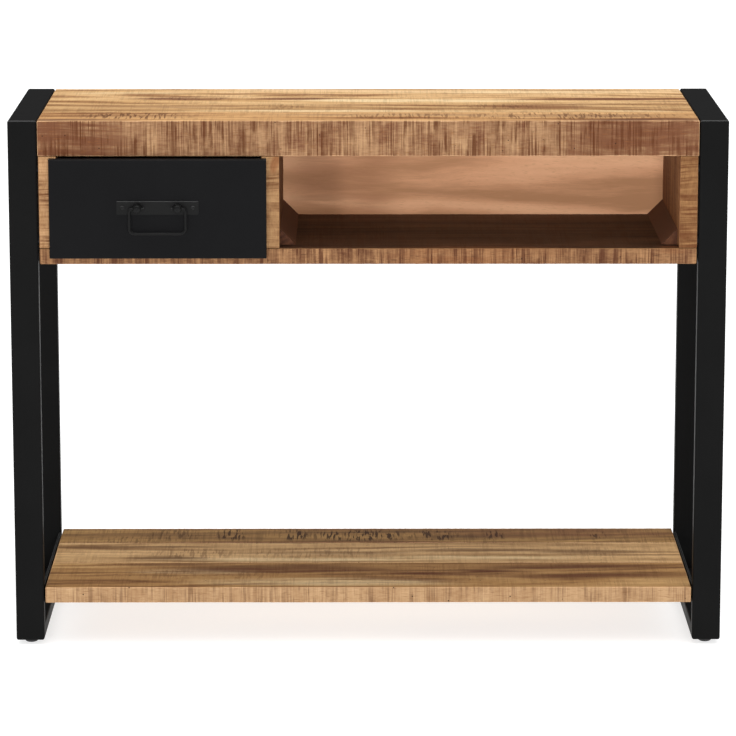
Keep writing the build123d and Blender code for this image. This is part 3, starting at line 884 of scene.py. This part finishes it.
@dataclass
class TableTop:
    """The four thick planks of the top."""

    edge: float = 1.6
    step: tuple[float, float, float] = (1.5, 6.0, 5.0)

    def _front(self) -> Mango:
        """Golden, with a band of slanting saw strokes and darker, redder ends to its front edge."""
        return Mango(
            "band_sawn_mango_top_front", "#daad77", "#c4945f", "#85552c", "#aa8662", "#68412c",
            seed=1.0, contrast=1.3, heart="#6a432d", stroke="#532d18",
            heartwood=(Patch(-440, 0, 150, 30, 1.0), Patch(440, 0, 230, 30, 1.0),
                       Patch(40, 62, 260, 20, 0.45), Patch(300, 50, 200, 24, 0.6),
                       Patch(-330, 55, 150, 30, 0.35)),
            rows=(Patch(-325, 50, 110, 44, 0.75), Patch(60, 50, 150, 40, 0.55),
                  Patch(280, 50, 220, 48, 0.65)))

    def _second(self) -> Mango:
        """A greyer plank with a broad brown patch towards the open end."""
        return Mango(
            "band_sawn_mango_top_second", "#d6af7d", "#c39966", "#875c33", seed=2.3, contrast=1.3,
            heartwood=(Patch(-300, 150, 160, 16, 0.6), Patch(245, 150, 105, 36, 0.8),
                       Patch(20, 165, 140, 12, 0.5)),
            sapwood=(Patch(-60, 105, 260, 12, 0.7), Patch(330, 100, 150, 10, 0.6)),
            rows=(Patch(-120, 150, 50, 40, 0.4), Patch(190, 150, 80, 40, 0.4)))

    def _third(self) -> Mango:
        """Cream sapwood in the middle and purplish brown heart at both ends."""
        return Mango(
            "band_sawn_mango_top_third", "#e0b985", "#ca9e69", "#85582f", seed=3.1, contrast=1.3,
            heart="#6f4029",
            heartwood=(Patch(-265, 240, 110, 20, 0.95), Patch(-110, 235, 85, 18, 0.9),
                       Patch(350, 230, 190, 20, 0.95), Patch(430, 200, 90, 12, 0.7)),
            sapwood=(Patch(60, 215, 230, 24, 0.95),),
            rows=(Patch(-260, 240, 100, 30, 0.4),))

    def _rear(self) -> Mango:
        """Even gold, darker along its rear edge."""
        return Mango(
            "band_sawn_mango_top_rear", "#e6c090", "#d2a873", "#8d5f37", seed=4.7, contrast=1.3,
            heartwood=(Patch(0, 352, 520, 16, 0.6), Patch(-150, 290, 120, 14, 0.5),
                       Patch(300, 330, 160, 12, 0.5)),
            sapwood=(Patch(-350, 300, 120, 16, 0.6), Patch(200, 310, 250, 16, 0.6)))

    def build(self) -> None:
        """Builds the planks from front to rear, each from its own tree."""
        planks = (("front", self._front()), ("front_middle", self._second()),
                  ("rear_middle", self._third()), ("rear", self._rear()))
        for number, (name, finish) in enumerate(planks):
            Board("top_plank_" + name, finish.material(), self.step, self.edge, teeth=SAW_TEETH,
                  seed=10 * number + 3).build()


@dataclass
class WoodenBox:
    """The box under the top: its uprights, bottom, back and corner strips."""

    edge: float = 1.0
    bottom_edge: float = 2.4
    back_edge: float = 0.6
    upright_step: tuple[float, float, float] = (5.0, 6.0, 2.5)
    bottom_step: tuple[float, float, float] = (1.5, 8.0, 4.0)
    back_step: tuple[float, float, float] = (8.0, 4.0, 8.0)

    def _upright(self, name: str, light: str, dark: str, seed: float,
                 faces: tuple[str, str, str] = ("#a8764d", "#8f6040", "#6e4630")
                 ) -> bpy.types.Material:
        """An upright board's finish: its edge is crossed by near-level saw strokes.

        Args:
            name: Which board.
            light: The edge's lighter colour.
            dark: The edge's darker colour.
            seed: Which tree.
            faces: The faces' light, middle and dark colours.

        Returns:
            The material.
        """
        knot = Patch(-131, 0, 9, 30, 0.8, 688, 16)
        return Mango("band_sawn_mango_" + name, *faces, light, dark, grain=Grain.UPRIGHT, seed=seed,
                     stroke_mm=5.0, stroke="#5e371f", rubbed="#8d6743",
                     heartwood=(knot,)).material()

    def build(self) -> None:
        """Builds every board of the box."""
        left = self._upright("left_panel", "#b99169", "#87603c", 5.2)
        divider = self._upright("divider", "#ab855d", "#83603f", 5.9,
                                ("#916543", "#7d5439", "#63402b"))
        right = self._upright("right_panel", "#966e47", "#634024", 6.9)
        # Painted shade: the dark face colours, and the wide heartwood patch along the front, stand in for
        # the shade on the compartment's floor under the top.
        bottom = Mango(
            "band_sawn_mango_bottom_painted_shade", "#5f422e", "#4c3222", "#362216", "#a07853", "#63402a",
            seed=7.4, rubbed="#8d6743",
            heartwood=(Patch(425, 0, 30, 30, 0.7, 571, 10), Patch(150, 0, 160, 30, 0.45)))
        back = Mango(
            "planed_mango_back", "#efba91", "#dea780", "#bd8c67", seed=8.8, growth=0.3, ring_mm=30,
            contrast=0.7, edge_strokes=0.0, face_strokes=0.0, holes=0.0, kerf=0.0,
            heart="#9a6a4d", rubbed="#b98a68", roughness=0.6,
            heartwood=(Patch(-40, 300, 100, 30, 0.5),))
        # Painted shade: the strips' dark colours stand in for the shade in the compartment's lower corners.
        strip = Mango(
            "planed_mango_strips_painted_shade", "#67432f", "#543526", "#3d261c", grain=Grain.FRONT_TO_BACK,
            seed=9.5, edge_strokes=0.0, face_strokes=0.0, kerf=0.0, rubbed="#5c3a2b")
        uprights = (("box_left_panel", left), ("box_divider", divider), ("box_right_panel", right))
        for number, (node, finish) in enumerate(uprights):
            Board(node, finish, self.upright_step, self.edge, seed=41 + number).build()
        Board("box_bottom_board", bottom.material(), self.bottom_step, self.bottom_edge,
              teeth=SAW_TEETH, seed=44).build()
        Board("box_back_panel", back.material(), self.back_step, self.back_edge, seed=45).build()
        dress(["compartment_strip_left", "compartment_strip_right"], strip.material())


@dataclass
class LowShelf:
    """The low shelf's three planks."""

    edge: float = 1.5
    step: tuple[float, float, float] = (1.5, 6.0, 4.0)

    def _front(self) -> Mango:
        """Brown with long flames of dark heart; its front edge is pale sapwood."""
        return Mango(
            "band_sawn_mango_shelf_front", "#c09864", "#a57b4a", "#6d4626", "#b89670", "#957250",
            seed=11.3, heart="#5a2d15", edge_strokes=0.45, kerf=0.3, holes=1.0, row_slant=8,
            heartwood=(Patch(-120, 100, 220, 22, 0.85), Patch(120, 84, 150, 24, 1.0),
                       Patch(330, 60, 200, 16, 0.7), Patch(-300, 128, 130, 10, 0.6),
                       Patch(300, 116, 180, 20, 0.6)),
            sapwood=(Patch(-60, 30, 240, 26, 0.5), Patch(-250, 90, 120, 20, 0.35)),
            rows=(Patch(-290, 80, 70, 50, 0.3), Patch(-170, 70, 70, 40, 0.3),
                  Patch(60, 60, 200, 40, 0.2)))

    def _middle(self) -> Mango:
        """Pale greyish tan with thin dark streaks and a little scratching."""
        return Mango(
            "band_sawn_mango_shelf_middle", "#d8b17f", "#bc9565", "#815d38", seed=12.9,
            row_slant=6, heart="#664527",
            heartwood=(Patch(-350, 235, 200, 9, 0.85), Patch(-290, 170, 80, 15, 0.8),
                       Patch(-60, 200, 160, 16, 0.5), Patch(170, 215, 140, 12, 0.8),
                       Patch(330, 205, 120, 18, 0.7)),
            sapwood=(Patch(-120, 160, 260, 12, 0.7), Patch(150, 170, 200, 14, 0.6)),
            rows=(Patch(-250, 195, 90, 44, 0.45), Patch(-80, 200, 170, 48, 0.35),
                  Patch(330, 205, 70, 40, 0.3)))

    def _rear(self) -> Mango:
        """Dull purplish brown, with clusters of blackened saw strokes."""
        return Mango(
            "band_sawn_mango_shelf_rear", "#ad8752", "#906b3f", "#5f4226", seed=13.6, row_slant=-14,
            stroke="#33201a", heart="#6a3f26", face_strokes=0.3,
            heartwood=(Patch(300, 320, 280, 40, 0.7), Patch(-60, 350, 500, 12, 0.7),
                       Patch(-60, 262, 460, 9, 0.9)),
            rows=(Patch(-350, 280, 60, 30, 0.5), Patch(-290, 310, 60, 50, 0.55),
                  Patch(-205, 308, 34, 52, 0.85), Patch(-110, 308, 30, 48, 0.9),
                  Patch(-10, 306, 110, 50, 0.9), Patch(100, 308, 45, 46, 0.85),
                  Patch(190, 308, 22, 46, 0.8), Patch(345, 312, 18, 40, 0.7)))

    def build(self) -> None:
        """Builds the planks from front to rear."""
        planks = (("front", self._front()), ("middle", self._middle()), ("rear", self._rear()))
        for number, (name, finish) in enumerate(planks):
            Board("shelf_plank_" + name, finish.material(), self.step, self.edge, teeth=SAW_TEETH,
                  seed=10 * number + 61).build()


@dataclass
class SideFrames:
    """Both welded tube frames, their shelf angles and their feet."""

    coat: PowderCoat = PowderCoat("polyester_powder_coat_frame")
    foot: MouldedPlastic = MouldedPlastic("moulded_polyethylene_foot")

    def build(self) -> None:
        """Dresses the tubes, angles and feet."""
        bars = ("front_leg", "top_rail", "rear_leg", "bottom_rail", "shelf_angle")
        dress([side + "_" + bar for side in ("left", "right") for bar in bars], self.coat.material())
        feet = ["foot_" + end + "_" + side for end in ("front", "rear") for side in ("left", "right")]
        dress(feet, self.foot.material())


@dataclass
class Drawer:
    """The drawer: its folded face, its handle and its wooden box."""

    face: PowderCoat = PowderCoat("polyester_powder_coat_drawer", "#101011", "#161617", roughness=0.44,
                                  specular=0.05)
    handle: PowderCoat = PowderCoat("polyester_powder_coat_handle", "#101010", "#171717", roughness=0.38,
                                    specular=0.12)
    box: Mango = Mango("planed_mango_drawer", "#d3b189", "#b98f63", "#8d6745", grain=Grain.FRONT_TO_BACK,
                       seed=15.1, edge_strokes=0.0, face_strokes=0.0, kerf=0.0, contrast=0.7, roughness=0.6)

    def build(self) -> None:
        """Dresses the drawer's face, handle and boards."""
        dress(["drawer_front_pan"], self.face.material())
        dress(["handle_plate", "handle_rivets", "handle_posts", "handle_bail"], self.handle.material())
        boards = ("left_side", "right_side", "inner_front", "back", "bottom", "front_core")
        dress(["drawer_" + board for board in boards], self.box.material())


@dataclass
class Hardware:
    """Runners, bolts, nuts, screws, spacers and dowels."""

    zinc: Steel = Steel("zinc_plated_steel", "#b9bab6", 0.38, line=0.1)
    black: Steel = Steel("black_zinc_plated_steel", "#26272a", 0.46)
    rolled: Steel = Steel("cold_rolled_runner_steel", "#aeb0b0", 0.32, line=0.5)
    ball: Steel = Steel("polished_ball_steel", "#c4c5c6", 0.2)
    dowel: Mango = Mango("turned_beech_dowel", "#d8b98f", "#c6a277", "#a88560", seed=17.7,
                         edge_strokes=0.0, face_strokes=0.0, kerf=0.0, holes=0.0)

    def build(self) -> None:
        """Dresses every small part."""
        sides = ("left", "right")
        dress(["box_bolts", "box_spacers"], self.black.material())
        dress(["box_nuts", "foot_nuts", "shelf_screws", "drawer_box_screws", "drawer_front_screws",
               "runner_wall_screws", "runner_drawer_screws"], self.zinc.material())
        dress(["runner_" + part + "_" + side for part in ("outer", "middle", "inner") for side in sides],
              self.rolled.material())
        dress(["runner_" + part + "_cage_" + side for part in ("outer", "inner") for side in sides],
              self.ball.material())
        dress(["box_dowels"], self.dowel.material())


# ---------------------------------------------------------------- studio


@dataclass(frozen=True)
class Lamp:
    """A soft square lamp: where it stands, its side in metres and its power in watts."""

    name: str
    place: tuple[float, float, float]
    side: float
    power: float


@dataclass
class Studio:
    """A pale floor under a bright overhead sky, two low front lamps and the camera."""

    camera_at: tuple[float, float, float] = (-0.0189, -5.4525, 1.4678)
    tilt: float = 11.40
    yaw: float = 0.20
    lens: float = 188.4
    floor_half: float = 30.0
    horizon: float = 0.04
    zenith: float = 3.1
    sky_power: float = 3.0
    sheet: MattAcrylic = MattAcrylic("matt_acrylic_floor")
    lamps: tuple[Lamp, ...] = (Lamp("front", (0.3, -4.6, 0.95), 0.7, 92),
                               Lamp("front_left", (-1.3, -4.4, 0.85), 0.35, 36))
    aim: tuple[float, float, float] = (0.0, 0.0, 0.6)

    def build(self) -> None:
        """Builds the floor, the lights and the camera."""
        self._floor()
        self._sky()
        for lamp in self.lamps:
            self._stand(lamp)
        self._camera()

    def _floor(self) -> None:
        """Lays the floor, one large sheet."""
        half = self.floor_half
        mesh = bpy.data.meshes.new("floor")
        corners = [(-half, -half, 0), (half, -half, 0), (half, half, 0), (-half, half, 0)]
        mesh.from_pydata(corners, [], [(0, 1, 2, 3)])
        mesh.materials.append(self.sheet.material())
        floor = bpy.data.objects.new("floor", mesh)
        bpy.context.scene.collection.objects.link(floor)

    def _sky(self) -> None:
        """A surround that is bright overhead and dim near the horizon."""
        world = bpy.data.worlds.new("studio")
        world.use_nodes = True
        tree = world.node_tree
        way = add_node(tree, "TexCoord").outputs["Generated"]
        up = add_node(tree, "SeparateXYZ", None, {0: way}).outputs[2]
        up = add_node(tree, "Math", {"operation": "MAXIMUM"}, {0: up, 1: 0.0}).outputs[0]
        up = add_node(tree, "Math", {"operation": "POWER"}, {0: up, 1: self.sky_power}).outputs[0]
        glow = add_node(tree, "MapRange", None, {
            "Value": up, "To Min": self.horizon, "To Max": self.zenith}).outputs[0]
        tree.links.new(glow, tree.nodes["Background"].inputs["Strength"])
        tree.nodes["Background"].inputs["Color"].default_value = (1, 1, 1, 1)
        bpy.context.scene.world = world

    def _stand(self, lamp: Lamp) -> None:
        """Stands a lamp so that it faces the drawer and the compartment.

        Args:
            lamp: The lamp.
        """
        light = bpy.data.lights.new(lamp.name, "AREA")
        light.size = lamp.side
        light.energy = lamp.power
        stood = bpy.data.objects.new(lamp.name, light)
        stood.location = lamp.place
        # A lamp's mirror image would turn the black paint grey.
        stood.visible_glossy = False
        way = Vector(self.aim) - Vector(lamp.place)
        stood.rotation_euler = way.to_track_quat("-Z", "Y").to_euler()
        bpy.context.scene.collection.objects.link(stood)

    def _camera(self) -> None:
        """Sets the camera in front of the table, looking slightly down."""
        data = bpy.data.cameras.new("camera")
        data.lens = self.lens
        camera = bpy.data.objects.new("camera", data)
        camera.location = self.camera_at
        camera.rotation_euler = (math.radians(90 - self.tilt), 0, math.radians(-self.yaw))
        bpy.context.scene.collection.objects.link(camera)
        bpy.context.scene.camera = camera
        bpy.context.scene.view_settings.view_transform = "Standard"


def main() -> None:
    """Builds the table's parts in order, then the studio."""
    logging.basicConfig(level=logging.INFO, format="%(message)s")
    for part in (SideFrames(), TableTop(), WoodenBox(), LowShelf(), Drawer(), Hardware()):
        part.build()
        LOG.info("%s done", type(part).__name__)
    Studio().build()


if __name__ == "__main__":
    main()
